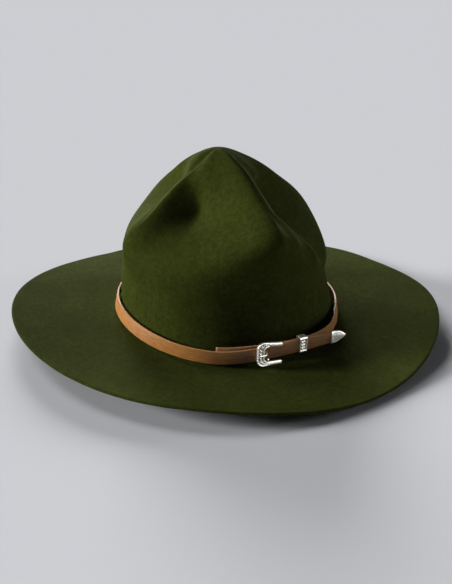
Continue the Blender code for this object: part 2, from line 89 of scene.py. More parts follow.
# Pinched ridges and the dents between them, in millimetres: how far out from the leaning
# axis and how far up the profile lies at the top of the wall, half way up the slope and
# beside the peak. A ridge's soft rounds it, and a dent's powers say how steeply it falls
# away from the ridge before it and from the one after.
Ridge = namedtuple("Ridge", "bearing rim_out rim_up slope_out slope_up brow_out brow_up soft")
Dent = namedtuple("Dent", "bearing rim_out rim_up slope_out slope_up brow_out brow_up columns "
                          "first_power second_power")
RIDGES = {
    "front": Ridge(-104, 91, 88, 52, 122, 24, 138, 0.16),
    "left_fold": Ridge(-17.5, 96, 99.5, 59, 126, 29, 144, 0.14),
    "left": Ridge(5, 93, 89, 51, 111.5, 24.5, 139, 0.04),
    "back": Ridge(87, 91.5, 90, 56.5, 122, 26, 142, 0.10),
    "right": Ridge(189, 80, 94.5, 50.5, 126.5, 24, 143.5, 0.10),
}
DENTS = {
    "front_left": Dent(-74, 88, 82.5, 46, 104, 25, 138, 96, 1.8, 1.9),
    "left_groove": Dent(-6.5, 94, 95.5, 47, 116, 25.5, 139, 48, 1.65, 1.3),
    "back_left": Dent(27, 82.5, 70, 30, 116, 27, 134, 88, 1.8, 2.2),
    "back_right": Dent(138, 82, 82.5, 38, 107.5, 23, 140.5, 88, 2.2, 2.2),
    "front_right": Dent(224, 79.5, 85, 40.5, 114, 24, 141.5, 80, 2.2, 2.2),
}
SHAPE = slice(1, 7)              # the six columns that shape the profile

# Places where the crown is pushed in further, in millimetres: the left ridge's foot, and
# three beside the front ridge. Each is a bell curve so wide, so tall and so deep.
Pit = namedtuple("Pit", "bearing up wide tall deep")
PITS = {
    "crease_foot": Pit(4, 97.5, 14, 10, 12),
    "front_edge": Pit(-97, 104, 25, 10, 4),
    "front_side": Pit(-90, 104, 12, 16, 6),
    "front_foot": Pit(-83, 94, 16, 10, 5),
}
PIT_AXIS = 6 * MM                # they push towards the upright line this far along the lean

# Creases painted pale, part rubbed wear and part painted highlight: from which climb up
# the crown to which, how many degrees to either side and how strongly
Crease = namedtuple("Crease", "ridge low high wide strength")
CREASES = (
    Crease("front", 0.42, 0.92, 0.7, 0.45),
    Crease("left", 0.53, 0.86, 0.7, 1.5),
)
CREASE_FADE = 0.08               # climb over which the wear comes in at either end

BRIM_ROWS = 44
BREAK_ROWS = 8
CROWN_ROWS = 96
EDGE_ROWS = 5
CROWN_START = 0.02               # climb where the turn into the brim gives way to the wall
COLUMN_BUNCHING = 0.6            # how closely the columns gather beside the ridges
EDGE_BULGE = 0.22                # of the felt's thickness that its cut edge rounds out
NORMAL_PASSES = 6                # how often the inner face's directions are evened out
INNER_PASSES = 2                 # how often its points are

# The felt's colours: clouds of a lighter green, the dark between the fibres in a fine grain
# and a coarser mottle, and the odd light fibre. Each layer is laid on where its noise, with
# so many swells to the metre, goes from low to high.
Layer = namedtuple("Layer", "swells detail roughness low high share colour")
FELT_GREEN = (0.038, 0.046, 0.0058)
FELT_LAYERS = {
    "clouds": Layer(28, 3.0, 0.5, 0.35, 0.65, 1.0, (0.053, 0.063, 0.0092)),
    "grain": Layer(620, 4.0, 0.65, 0.33, 0.67, 0.55, (0.016, 0.022, 0.0026)),
    "mottle": Layer(240, 3.0, 0.6, 0.36, 0.64, 0.55, (0.018, 0.024, 0.0024)),
    "flecks": Layer(1500, 2.0, 0.5, 0.60, 0.72, 0.35, (0.10, 0.115, 0.035)),
}
# Pale of the creases: rubbed wear, and partly a painted highlight along the fold
FELT_WORN_AND_HIGHLIT = (0.15, 0.17, 0.07)
Relief = namedtuple("Relief", "swells detail roughness strength deep")
FELT_NAP = {
    "fibres": Relief(900, 3.0, 0.7, 0.35, 0.6 * MM),
    "waviness": Relief(140, 2.0, 0.5, 0.25, 1.2 * MM),
}


def smooth(x):
    """Ease from 0 to 1, level at both ends: 3x^2 - 2x^3."""
    x = np.clip(x, 0.0, 1.0)
    return x * x * (3.0 - 2.0 * x)


def ease_between(place, places, values):
    """Value at a place, eased from each of a table's rows to the next."""
    value = np.full(np.shape(place), float(values[0]))
    for k in range(len(places) - 1):
        share = smooth((place - places[k]) / (places[k + 1] - places[k]))
        value = np.where(place > places[k], values[k] + (values[k + 1] - values[k]) * share, value)
    return value


def turn_from(start, bearing):
    """The same bearing, within a full turn from a start."""
    return (np.asarray(bearing, float) - start) % 360 + start


def unit(vectors):
    """The vectors at length 1."""
    return vectors / np.maximum(np.linalg.norm(vectors, axis=-1, keepdims=True), 1e-12)


def direction(bearing):
    """Unit vector in plan towards a bearing."""
    t = np.radians(bearing)
    return np.stack([np.cos(t), np.sin(t)], -1)


def points_of(*coordinates):
    """Points from their coordinates, each an array or one number for all of them."""
    return np.stack(np.broadcast_arrays(*coordinates), -1)


def raised(plan, height):
    """Points in plan, each at its height or all at one."""
    return points_of(plan[..., 0], plan[..., 1], height)


def oval_point(bearing, out=0.0):
    """Point of the head oval at a bearing, moved out along the oval's normal."""
    t = np.radians(bearing)
    normal = unit(points_of(OVAL_HALF_LENGTH * np.cos(t), OVAL_HALF_WIDTH * np.sin(t)))
    point = points_of(OVAL_HALF_WIDTH * np.cos(t), OVAL_HALF_LENGTH * np.sin(t))
    return point + normal * np.asarray(out)[..., None]


def wave(rows, bearing):
    """Height at a bearing, eased from one row of a wave table to the next, all round."""
    rows = [*rows, Wave(rows[0].bearing + 360, rows[0].up)]
    turned = turn_from(rows[0].bearing, bearing)
    return ease_between(turned, [row.bearing for row in rows], [row.up for row in rows]) * MM


def brim_point(bearing, reach):
    """Top face of the brim, from the crown's foot (reach 0) to the cut edge (reach 1).

    Its height goes from the foot's wave to the edge's wave with the 1.5th power of reach,
    and is never lower than the felt's thickness above the surface.
    """
    width = BRIM_WIDTH - BRIM_UNEVEN * np.cos(2 * np.radians(bearing))
    plan = oval_point(bearing, BREAK_RADIUS + (width - BREAK_RADIUS) * reach)
    foot = wave(FOOT_WAVE, bearing)
    height = foot + (wave(EDGE_WAVE, bearing) + FELT - foot) * reach ** SAG_POWER
    return raised(plan, np.maximum(height, FELT))


def fall_away(across, soft, power):
    """Share of the dent at a place between its ridge (0) and its bottom (1)."""
    across = np.clip(across, 0, 1)
    rounded = (np.sqrt(across ** 2 + soft ** 2) - soft) / (math.sqrt(1 + soft ** 2) - soft)
    return 1 - (1 - rounded) ** power


def ridges_all_round():
    """The ridges in order of bearing, with the first one again after a full turn."""
    ridges = sorted(RIDGES.values())
    return [*ridges, ridges[0]._replace(bearing=ridges[0].bearing + 360)]


def meridian_points(bearing):
    """Six control points of the crown's profile at each bearing, in plan and height.

    At a ridge or at the bottom of a dent they are that row of the table. Between the two
    they pass from one to the other, fast at the ridge and level at the dent.
    """
    ridges = ridges_all_round()
    turned = turn_from(ridges[0].bearing, bearing)
    table = np.zeros(turned.shape + (6,))
    for first, second, dent in zip(ridges[:-1], ridges[1:], sorted(DENTS.values())):
        across = smooth((turned - first.bearing) / (second.bearing - first.bearing))[..., None]
        crest = (1 - across) * first[SHAPE] + across * second[SHAPE]
        after_first = (turned - first.bearing) / (dent.bearing - first.bearing)
        before_second = (second.bearing - turned) / (second.bearing - dent.bearing)
        near_first = fall_away(after_first, first.soft, dent.first_power)
        near_second = fall_away(before_second, second.soft, dent.second_power)
        share = np.where(turned < dent.bearing, near_first, near_second)[..., None]
        inside = ((turned >= first.bearing) & (turned <= second.bearing))[..., None]
        table = np.where(inside, crest + (np.array(dent[SHAPE]) - crest) * share, table)
    outs = table[..., 0::2] * MM
    ups = table[..., 1::2] * MM

    plans = [oval_point(bearing), oval_point(bearing, -WALL_IN)]
    plans += [direction(bearing) * outs[..., k, None] for k in range(3)]
    plans.append(np.zeros_like(plans[0]))
    heights = [wave(FOOT_WAVE, bearing), np.full(turned.shape, WALL_UP)]
    heights += [ups[..., k] for k in range(3)]
    heights.append(np.full(turned.shape, PEAK_UP))
    points = []
    for plan, height, lean in zip(plans, heights, LEAN):
        points.append(raised(plan + direction(LEAN_BEARING) * lean * MM, height))
    return np.stack(points)


def push_in(points):
    """The crown's points moved towards its axis by the pits, each a bell curve deep."""
    arm = points[..., :2] - direction(LEAN_BEARING) * PIT_AXIS
    away = np.linalg.norm(arm, axis=-1)
    bearing = np.degrees(np.arctan2(arm[..., 1], arm[..., 0]))
    pushed = np.zeros(away.shape)
    for pit in PITS.values():
        across = away * np.radians(turn_from(-180, bearing - pit.bearing)) / (pit.wide * MM)
        up = (points[..., 2] - pit.up * MM) / (pit.tall * MM)
        pushed += pit.deep * MM * np.exp(-across ** 2 - up ** 2)
    share = (pushed / np.maximum(away, MM))[..., None]
    return raised(points[..., :2] - arm * share, points[..., 2])


def crown_rows(bearing, climbs):
    """Rings of the crown's outer face at climbs from its foot (0) to its peak (1).

    A Catmull-Rom curve runs through the meridian's six points. It leaves the foot along
    the wall and arrives level at the peak.
    """
    points = meridian_points(bearing)
    below = 2 * points[0] - points[1]
    below[..., :2] = oval_point(bearing, WALL_IN + FOOT_FLARE)
    beyond = 2 * points[-1] - points[-2]
    beyond[..., 2] = points[-2][..., 2]
    points = np.concatenate([below[None], points, beyond[None]])
    place = np.clip(climbs, 0, 1) * 5
    step = np.minimum(place.astype(int), 4)
    f = (place - step)[:, None, None]
    a, b, c, d = [points[step + k] for k in range(4)]
    square = 2 * a - 5 * b + 4 * c - d
    cube = 3 * b - a - 3 * c + d
    return push_in(0.5 * (2 * b + (c - a) * f + square * f ** 2 + cube * f ** 3))


def column_bearings():
    """Bearings of the felt's columns, one on each ridge and closer together beside it."""
    ridges = ridges_all_round()
    bearings = []
    for first, second, dent in zip(ridges[:-1], ridges[1:], sorted(DENTS.values())):
        u = np.arange(dent.columns) / dent.columns
        u = u - COLUMN_BUNCHING * np.sin(2 * np.pi * u) / (2 * np.pi)
        bearings.append(first.bearing + (second.bearing - first.bearing) * u)
    return np.concatenate(bearings)


def outer_felt():
    """Rings of the felt's outer face, from the brim's cut edge to just below the peak."""
    bearings = column_bearings()
    brim = np.stack([brim_point(bearings, reach) for reach in np.linspace(1, 0, BRIM_ROWS + 1)])
    climbs = CROWN_START + (1 - CROWN_START) * np.arange(CROWN_ROWS) / CROWN_ROWS
    crown = crown_rows(bearings, climbs)
    corner = raised(oval_point(bearings), np.maximum(wave(FOOT_WAVE, bearings), FELT))
    f = (np.arange(BREAK_ROWS) / BREAK_ROWS)[:, None, None]
    turn = (1 - f) ** 2 * brim[-1] + 2 * f * (1 - f) * corner + f * f * crown[0]
    return np.concatenate([brim[:-1], turn, crown])


def ring_normals(rings):
    """Outward unit normals of a grid of rings: round the ring crossed with up the rows."""
    around = np.roll(rings, -1, 1) - np.roll(rings, 1, 1)
    up = np.gradient(rings, axis=0)
    return unit(np.cross(around, up))


def soften(rings, passes):
    """Each ring's points moved to the mean of their four neighbours, some times over."""
    for _ in range(passes):
        mean = np.roll(rings, 1, 1) + np.roll(rings, -1, 1)
        mean[1:-1] += rings[2:] + rings[:-2]
        mean[1:-1] /= 4
        rings = np.concatenate([rings[:1], mean[1:-1], rings[-1:]])
    return rings


def add_object(name, data):
    """A new object of this data in the scene."""
    item = bpy.data.objects.new(name, data)
    scene.collection.objects.link(item)
    return item


def add_mesh(name, points, faces, material):
    """A mesh of these points and faces, all in one material."""
    mesh = bpy.data.meshes.new(name)
    mesh.from_pydata(points, [], faces)
    mesh.update()
    mesh.materials.append(material)
    return add_object(name, mesh)


def add_surface(name, rings, material, row_loop=False):
    """A smooth closed mesh from a grid of points whose rows are closed rings.

    The rows either close into a loop, or the first and last end in a fan about the mean
    of their ring.
    """
    rows, columns, _ = rings.shape
    points = rings.reshape(-1, 3)
    here = np.arange(rows * columns).reshape(rows, columns)
    beside = np.roll(here, -1, 1)
    if row_loop:
        above, above_beside = np.roll(here, -1, 0), np.roll(beside, -1, 0)
    else:
        above, above_beside = here[1:], beside[1:]
        here, beside = here[:-1], beside[:-1]
    faces = np.stack([here, beside, above_beside, above], -1).reshape(-1, 4).tolist()
    if not row_loop:
        first, last = len(points), len(points) + 1
        points = np.concatenate([points, rings[0].mean(0)[None], rings[-1].mean(0)[None]])
        ring = np.arange(columns)
        start = np.stack([np.roll(ring, -1), ring, np.full(columns, first)], -1)
        top = ring + (rows - 1) * columns
        end = np.stack([top, np.roll(top, -1), np.full(columns, last)], -1)
        faces += start.tolist() + end.tolist()
    piece = add_mesh(name, points.tolist(), faces, material)
    piece.data.shade_smooth()
    return piece


def add_attribute(piece, name, values):
    """A number, or a vector, for each point of the mesh, padded with its mean at the poles."""
    values = np.asarray(values, float)
    width = values.shape[-1] if values.ndim > 2 else 1
    flat = values.reshape(-1, width)
    missing = len(piece.data.vertices) - len(flat)
    flat = np.concatenate([flat, np.repeat(flat.mean(0)[None], missing, 0)])
    kind, field = ("FLOAT_VECTOR", "vector") if width == 3 else ("FLOAT", "value")
    attribute = piece.data.attributes.new(name, kind, "POINT")
    attribute.data.foreach_set(field, flat.ravel())


def shader_of(name):
    """A new material and its Principled shader."""
    material = bpy.data.materials.new(name)
    material.use_nodes = True
    return material, material.node_tree.nodes["Principled BSDF"]


def set_inputs(material, node, inputs):
    """The node's inputs, each set to a value or linked to another node's output."""
    for key, value in inputs.items():
        if isinstance(value, bpy.types.NodeSocket):
            material.node_tree.links.new(value, node.inputs[key])
        else:
            node.inputs[key].default_value = value


def add_node(material, kind, inputs):
    """A shader node with its inputs."""
    node = material.node_tree.nodes.new("ShaderNode" + kind)
    set_inputs(material, node, inputs)
    return node


def place_on_object(material):
    """Each point's place in the object's own coordinates."""
    return add_node(material, "TexCoord", {}).outputs["Object"]


def attribute_of(material, name, output="Fac"):
    """What an attribute of the mesh says at each point."""
    node = add_node(material, "Attribute", {})
    node.attribute_name = name
    return node.outputs[output]


def noise(material, place, swells, detail, roughness=0.5):
    """Cloudy noise from 0 to 1, with this many swells to the metre."""
    inputs = {"Vector": place, "Scale": swells, "Detail": detail, "Roughness": roughness}
    return add_node(material, "TexNoise", inputs).outputs["Fac"]


def spread(material, value, low, high, to_low=0.0, to_high=1.0):
    """A value's range moved onto another, and kept inside it."""
    inputs = {"Value": value, "From Min": low, "From Max": high, "To Min": to_low, "To Max": to_high}
    return add_node(material, "MapRange", inputs).outputs["Result"]


def mix_colour(material, share, first, second):
    """A colour between two, by a share from 0 to 1. A colour is three numbers or an output."""
    node = add_node(material, "Mix", {})
    node.data_type = "RGBA"
    first, second = [(*c, 1) if isinstance(c, tuple) else c for c in (first, second)]
    set_inputs(material, node, {0: share, 6: first, 7: second})
    return node.outputs[2]


def lay_colours(material, place, colour, layers):
    """A colour with its layers laid over it, one after the other."""
    for layer in layers.values():
        cloud = noise(material, place, layer.swells, layer.detail, layer.roughness)
        share = spread(material, cloud, layer.low, layer.high, 0.0, layer.share)
        colour = mix_colour(material, share, colour, layer.colour)
    return colour


def bump(material, height, strength, distance, below=None):
    """A bump from a height, laid over another bump if there is one."""
    inputs = {"Height": height, "Strength": strength, "Distance": distance}
    if below is not None:
        inputs["Normal"] = below
    return add_node(material, "Bump", inputs).outputs["Normal"]


def lay_bumps(material, place, reliefs):
    """Bumps of noise, each laid over the one before."""
    normal = None
    for relief in reliefs.values():
        height = noise(material, place, relief.swells, relief.detail, relief.roughness)
        normal = bump(material, height, relief.strength, relief.deep, normal)
    return normal


def make_felt_material():
    """Brushed olive felt: a cloudy green with a grain of fibres, paler along its creases, where it is
    rubbed and where a highlight is painted.
    """
    felt, shader = shader_of("olive_felt")
    place = place_on_object(felt)
    colour = lay_colours(felt, place, FELT_GREEN, FELT_LAYERS)
    set_inputs(felt, shader, {
        "Base Color": mix_colour(felt, attribute_of(felt, "worn_and_highlit"), colour, FELT_WORN_AND_HIGHLIT),
        "Normal": lay_bumps(felt, place, FELT_NAP),
        "Roughness": 0.95,
        "Specular IOR Level": 0.02,
        "Sheen Weight": 0.012,
        "Sheen Roughness": 0.6,
        "Sheen Tint": (0.55, 0.65, 0.35, 1),
    })
    return felt


def ridge_wear_and_highlight(bearings, rows):
    """Wear and a painted highlight along the sharp creases: a crease's strength on its line,
    falling off to either side as a bell curve, and none above or below the crease's climbs."""
    climbs = np.zeros(rows)
    climbs[-CROWN_ROWS:] = np.arange(CROWN_ROWS) / CROWN_ROWS
    wear_and_highlight = np.zeros((rows, len(bearings)))
    for crease in CREASES:
        away = turn_from(-180, bearings - RIDGES[crease.ridge].bearing)
        up = smooth((climbs - crease.low) / CREASE_FADE) * smooth((crease.high - climbs) / CREASE_FADE)
        wear_and_highlight = np.maximum(wear_and_highlight, crease.strength * up[:, None] * np.exp(-(away / crease.wide) ** 2))
    return wear_and_highlight


def make_felt_body():
    """The felt's outer face, its cut edge rounded over, and its inner face a felt's
    thickness inside, in every second row."""
    outer = outer_felt()
    outward = ring_normals(outer)
    inner = outer - FELT * soften(outward, NORMAL_PASSES)
    inner = np.concatenate([outer[:1] - FELT * outward[:1], soften(inner, INNER_PASSES)[1:]])
    inner[..., 2] = np.maximum(inner[..., 2], 0.0)
    turn = np.pi * (np.arange(1, EDGE_ROWS + 1) / (EDGE_ROWS + 1))[:, None, None]
    middle = (outer[0] + inner[0]) / 2
    away = unit(outer[0] - outer[1]) * FELT * EDGE_BULGE
    edge = middle + (inner[0] - outer[0]) / 2 * np.cos(turn) + away * np.sin(turn)
    rings = np.concatenate([inner[::-2], edge, outer])
    felt = add_surface("felt_body_surface", rings, make_felt_material())
    # The creases are painted paler: part rubbed wear, part painted highlight
    wear_and_highlight = np.zeros(rings.shape[:2])
    wear_and_highlight[-len(outer):] = ridge_wear_and_highlight(column_bearings(), len(outer))
    add_attribute(felt, "worn_and_highlit", wear_and_highlight)
    return felt


felt_body = make_felt_body()
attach(felt_body, "root")
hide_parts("felt_body")

# Leather band: one strap cut from tan hide, its edges left pale. It starts under the
# buckle, goes once round the foot of the crown and through the buckle and the keeper,
# and its free end stands straight away from the crown.
STRAP_WIDTH = 11.1 * MM
STRAP_END_WIDTH = 9.0 * MM       # where the leather enters its metal tip
STRAP_NARROWS = 18 * MM          # length over which its free end narrows to that
STRAP = 1.6 * MM                 # thickness of the leather
STRAP_ROUND = 0.35 * MM          # rounding of its edges
STRAP_OUT = 1.0 * MM             # middle of the leather from the head oval, where it is snug
STRAP_UP = 1.3 * MM              # lower edge above the crown's foot, where it is snug
STRAP_TILT = 11                  # lean of the snug strap against the tapering wall
LOOSE_FROM = 1.4 * MM            # past this distance the strap turns upright, by twice it
Run = namedtuple("Run", "bearing away lift")
STRAP_PATH = (
    Run(-50, 1.9, 4.0),
    Run(-26, 2.9, 6.0),
    Run(-4, 8.4, 8.1),
    Run(38, 0.0, 0.0),
    Run(180, 0.0, 0.0),
    Run(224, 1.0, 0.0),
    Run(272, 1.4, 0.0),
    Run(310, 4.9, 2.2),
    Run(344, 7.7, 7.6),
)
FREE_LENGTH = 43.3 * MM          # straight leather past the last row
STRAP_STEP = 1.2                 # degrees between the strap's sections
FREE_SECTIONS = 36               # sections of the straight end
TIP_POCKET = 4.0 * MM            # how far the leather reaches into its metal tip
HOLE_RADIUS = 1.5 * MM
HOLE_SIDES = 32
BUCKLE_BEARING = 333.5           # middle of the buckle, on the strap's outer run
BUCKLE_LENGTH = 20.5 * MM
HOLE_PLACE = 8.8 * MM            # middle of the strap's hole from the buckle's bowed end

# The leather's colours: from dark to light along its drawn-out streaks, with clouds over
# them, and its cut edge
STREAKS = 900                    # to the metre across the strap
STREAK_STRETCH = 0.18            # the same along it, as a share of that
STREAK_BUMP = 0.15
STREAK_DEEP = 0.3 * MM
TAN_DARK = (0.30, 0.118, 0.026)
TAN_LIGHT = (0.49, 0.205, 0.048)
TAN_LAYERS = {"clouds": Layer(60, 3.0, 0.5, 0.35, 0.70, 0.45, (0.45, 0.208, 0.056))}
TAN_CUT = (0.50, 0.25, 0.085)
TAN_PORES = {"pores": Relief(2600, 2.0, 0.5, 0.25, 0.2 * MM)}


def strap_route():
    """Sections of the strap from its hidden end to its tip end: each one's middle, the
    directions along the strap, out of its face and across it, and its bearing.

    Round the crown the strap follows the oval at its table's distance, and past the
    table's last row it goes straight on.
    """
    turns = [row.bearing for row in STRAP_PATH]
    bearing = np.linspace(turns[0], turns[-1], round((turns[-1] - turns[0]) / STRAP_STEP) + 1)
    away = ease_between(bearing, turns, [row.away for row in STRAP_PATH]) * MM
    lift = ease_between(bearing, turns, [row.lift for row in STRAP_PATH]) * MM
    plan = oval_point(bearing, STRAP_OUT + away)
    low = np.maximum(wave(FOOT_WAVE, bearing), FELT) + STRAP_UP + lift
    run = unit(plan[-1] - plan[-2])
    steps = np.arange(1, FREE_SECTIONS + 1)[:, None] / FREE_SECTIONS
    plan = np.concatenate([plan, plan[-1] + run * FREE_LENGTH * steps])
    low = np.concatenate([low, np.full(FREE_SECTIONS, low[-1])])
    away = np.concatenate([away, np.full(FREE_SECTIONS, away[-1])])
    bearing = np.concatenate([bearing, np.full(FREE_SECTIONS, bearing[-1])])

    along = unit(np.gradient(plan, axis=0))
    out = points_of(along[:, 1], -along[:, 0], 0)
    along = raised(along, 0)
    loose = np.clip((away - LOOSE_FROM) / LOOSE_FROM, 0, 1)
    tilt = np.radians(STRAP_TILT) * (1 - loose)[:, None]
    upright = np.array([0.0, 0.0, 1.0])
    across = upright * np.cos(tilt) - out * np.sin(tilt)
    out = out * np.cos(tilt) + upright * np.sin(tilt)
    return raised(plan, low + STRAP_WIDTH / 2), along, out, across, bearing


def strap_widths(middle):
    """The leather's width at each section. The free end's sections narrow towards the tip."""
    left = np.linalg.norm(middle - middle[-1], axis=1) - TIP_POCKET
    left[:-FREE_SECTIONS] = STRAP_NARROWS
    share = np.clip(left / STRAP_NARROWS, 0, 1)
    return STRAP_END_WIDTH + (STRAP_WIDTH - STRAP_END_WIDTH) * share


def lengths_along(points):
    """Distance of each point of a path from its start."""
    return np.concatenate([[0], np.cumsum(np.linalg.norm(np.diff(points, axis=0), axis=1))])


def place_on_strap(bearing, ahead=0.0):
    """Matrix at a bearing of the strap's outer run, or further along it.

    X runs along the strap, Y up its width and Z out of its face.
    """
    middle, along, out, _, bearings = strap_route()
    length = lengths_along(middle)
    place = np.interp(bearing, bearings[:-FREE_SECTIONS], length[:-FREE_SECTIONS]) + ahead
    origin, x, z = [Vector([np.interp(place, length, rows[:, k]) for k in range(3)])
                    for rows in (middle, along, out)]
    x.normalize()
    z = (z - x * z.dot(x)).normalized()
    y = z.cross(x)
    matrix = Matrix((x, y, z)).transposed().to_4x4()
    matrix.translation = origin
    return matrix


def rounded_section(half_wide, half_thick, corner, steps=4):
    """Points round a rectangle with rounded corners, anticlockwise from the lower right."""
    points = []
    for k, (side, face) in enumerate(((1, -1), (1, 1), (-1, 1), (-1, -1))):
        t = np.radians(-90 + 90 * k + 90 * np.arange(steps + 1) / steps)
        points.append(points_of(side * (half_wide - corner) + corner * np.cos(t),
                                face * (half_thick - corner) + corner * np.sin(t)))
    return np.concatenate(points)


def make_leather_material():
    """Tan strap leather: a grain drawn out along the strap, and pale cut edges."""
    leather, shader = shader_of("tan_leather")
    place = attribute_of(leather, "run", "Vector")
    drawn = add_node(leather, "Mapping", {"Vector": place, "Scale": (STREAK_STRETCH, 1, 1)})
    streaks = spread(leather, noise(leather, drawn.outputs["Vector"], STREAKS, 3.0), 0.3, 0.7)
    colour = mix_colour(leather, streaks, TAN_DARK, TAN_LIGHT)
    colour = lay_colours(leather, place, colour, TAN_LAYERS)
    hide = lay_bumps(leather, place, TAN_PORES)
    set_inputs(leather, shader, {
        "Base Color": mix_colour(leather, attribute_of(leather, "cut"), colour, TAN_CUT),
        "Normal": bump(leather, streaks, STREAK_BUMP, STREAK_DEEP, hide),
        "Roughness": 0.5,
        "Specular IOR Level": 0.3,
    })
    return leather


def punch(piece, cutter):
    """The piece's mesh with the cutter's shape cut out of it."""
    hole = piece.modifiers.new("punched", "BOOLEAN")
    hole.operation = "DIFFERENCE"
    hole.object = cutter
    view = bpy.context.evaluated_depsgraph_get()
    mesh = bpy.data.meshes.new_from_object(piece.evaluated_get(view))
    piece.modifiers.remove(hole)
    piece.data = mesh
    bpy.data.objects.remove(cutter)


def make_strap():
    """The strap's rounded section carried along its route, with the hole for the prong."""
    middle, along, out, across, _ = strap_route()
    section = rounded_section(STRAP_WIDTH / 2, STRAP / 2, STRAP_ROUND)
    narrowed = (strap_widths(middle) / STRAP_WIDTH)[:, None, None]
    rings = middle[:, None] + across[:, None] * section[:, :1] * narrowed + out[:, None] * section[:, 1:]
    strap = add_surface("leather_strap_surface", rings, make_leather_material())
    run = points_of(lengths_along(middle)[:, None], section[:, 0], section[:, 1])
    add_attribute(strap, "run", run)
    past_face = np.abs(run[..., 1]) - (STRAP_WIDTH / 2 - STRAP_ROUND)
    add_attribute(strap, "cut", smooth(past_face / STRAP_ROUND))
    t = np.linspace(0, 2 * np.pi, HOLE_SIDES, endpoint=False)
    through = 2 * STRAP * np.array([[-1], [1]])
    tube = points_of(HOLE_RADIUS * np.cos(t), HOLE_RADIUS * np.sin(t), through)
    cutter = add_surface("punch", tube, strap.data.materials[0])
    cutter.data.transform(place_on_strap(BUCKLE_BEARING, HOLE_PLACE - BUCKLE_LENGTH / 2))
    punch(strap, cutter)
    return strap


leather_strap = make_strap()
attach(leather_strap, "root")
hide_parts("leather_strap")

# Buckle: a C cast in silver-coloured metal and darkened in its hollows. Its bowed end
# lies over the strap with a rope edge and a leaf scroll, its arms are twisted rope, and
# a bar behind the strap is held by a lug from each arm.
BUCKLE_WIDTH = 21.5 * MM
BUCKLE_NARROWS = 0.12            # share of its width that the arms come in by at their ends
BUCKLE_RIM = 6.4 * MM            # metal across the bowed end
BUCKLE_ARM = 3.9 * MM            # metal across an arm
BUCKLE_THICK = 2.2 * MM
BUCKLE_LIFT = 0.9 * MM           # back of the frame above the strap's face
BUCKLE_CORNER = 6.7 * MM         # round of the bowed end's outer corners
BUCKLE_INNER_CORNER = 3.6 * MM
ARM_STEPS = 70
CORNER_STEPS = 50
BOW_STEPS = 60
ROPE_PITCH = 1.9 * MM            # from strand to strand
ROPE_SHARE = 0.30                # of the bowed end's width that its rope edge takes
BEAD_SHARE = 0.18                # of that width that the plain inner bead takes
LEAF_PITCH = 3.4 * MM            # from leaf to leaf along the bowed end
BAR_PLACE = 11.0 * MM            # middle of the bar from the bowed end
BAR_RADIUS = 0.8 * MM
CLEARANCE = 0.35 * MM            # between touching pieces
BOW_ENDS = 0.02 * BUCKLE_LENGTH  # past the buckle's middle; from there the arms are rope alone
BOW_FADE = 0.22 * BUCKLE_LENGTH  # length over which the bowed end's carving gives way to it
FACE_COLUMNS = 45                # across the frame's face
RELIEF_SHARE = 0.45              # of the frame's thickness that the relief takes

# Relief, as shares of its full height or of the band's half width
ROPE_SLANT = 0.55                # of a strand's pitch that the notches slant by
ROPE_NOTCH = 0.55                # depth of the notches
STEM_SWAY = 0.35
STEM_HALF = 0.16
LEAF_SLANT = 2.6                 # radians that a leaf leans by
LEAF_FULL = 1.4                  # leaves rise past the full height, and are cut off there
LEAF_SUNK = 0.2                  # their feet lie this far below the ground
VEINS = 3                        # to a leaf
VEIN_SLANT = 6                   # radians that they lean by
VEIN_DEPTH = 0.25
LEAF_FLOOR = 0.15                # height of the ground between the bowed end's leaves
LEAF_HEIGHT = 0.55               # of its leaves above that

# The metal's colours, and the height below which a relief darkens, fully a fade lower down
SILVER = (0.86, 0.85, 0.79)
SILVER_LAYERS = {"tarnish": Layer(420, 3.0, 0.5, 0.35, 0.75, 0.35, (0.84, 0.82, 0.73))}
# Dark of the relief's hollows, also painted as shade inside the tip's pocket
SILVER_HOLLOW_AND_POCKET_SHADE = (0.13, 0.12, 0.10)
SILVER_RUBS = 1100               # swells to the metre between smoother and rougher metal
SILVER_ROUGHNESS = (0.34, 0.50)
SILVER_SCUFFS = {"scuffs": Relief(1800, 3.0, 0.5, 0.12, 0.2 * MM)}
HOLLOW_BELOW = 0.4
BUCKLE_HOLLOW_BELOW = 0.62
HOLLOW_FADE = 0.4


def make_silver_material():
    """Cast silver-coloured metal: bright where it is rubbed, dark in its hollows, and painted dark as
    shade in the tip's pocket.
    """
    silver, shader = shader_of("silver_metal")
    place = place_on_object(silver)
    colour = lay_colours(silver, place, SILVER, SILVER_LAYERS)
    set_inputs(silver, shader, {
        "Base Color": mix_colour(silver, attribute_of(silver, "hollow_and_pocket_shade"), colour, SILVER_HOLLOW_AND_POCKET_SHADE),
        "Roughness": spread(silver, noise(silver, place, SILVER_RUBS, 2.0), 0.3, 0.7, *SILVER_ROUGHNESS),
        "Normal": lay_bumps(silver, place, SILVER_SCUFFS),
        "Metallic": 1.0,
    })
    return silver


def hollow_share(height, below=HOLLOW_BELOW):
    """How dark a relief is, from 0 down to a height to 1 a fade below it."""
    return smooth((below - height) / HOLLOW_FADE)


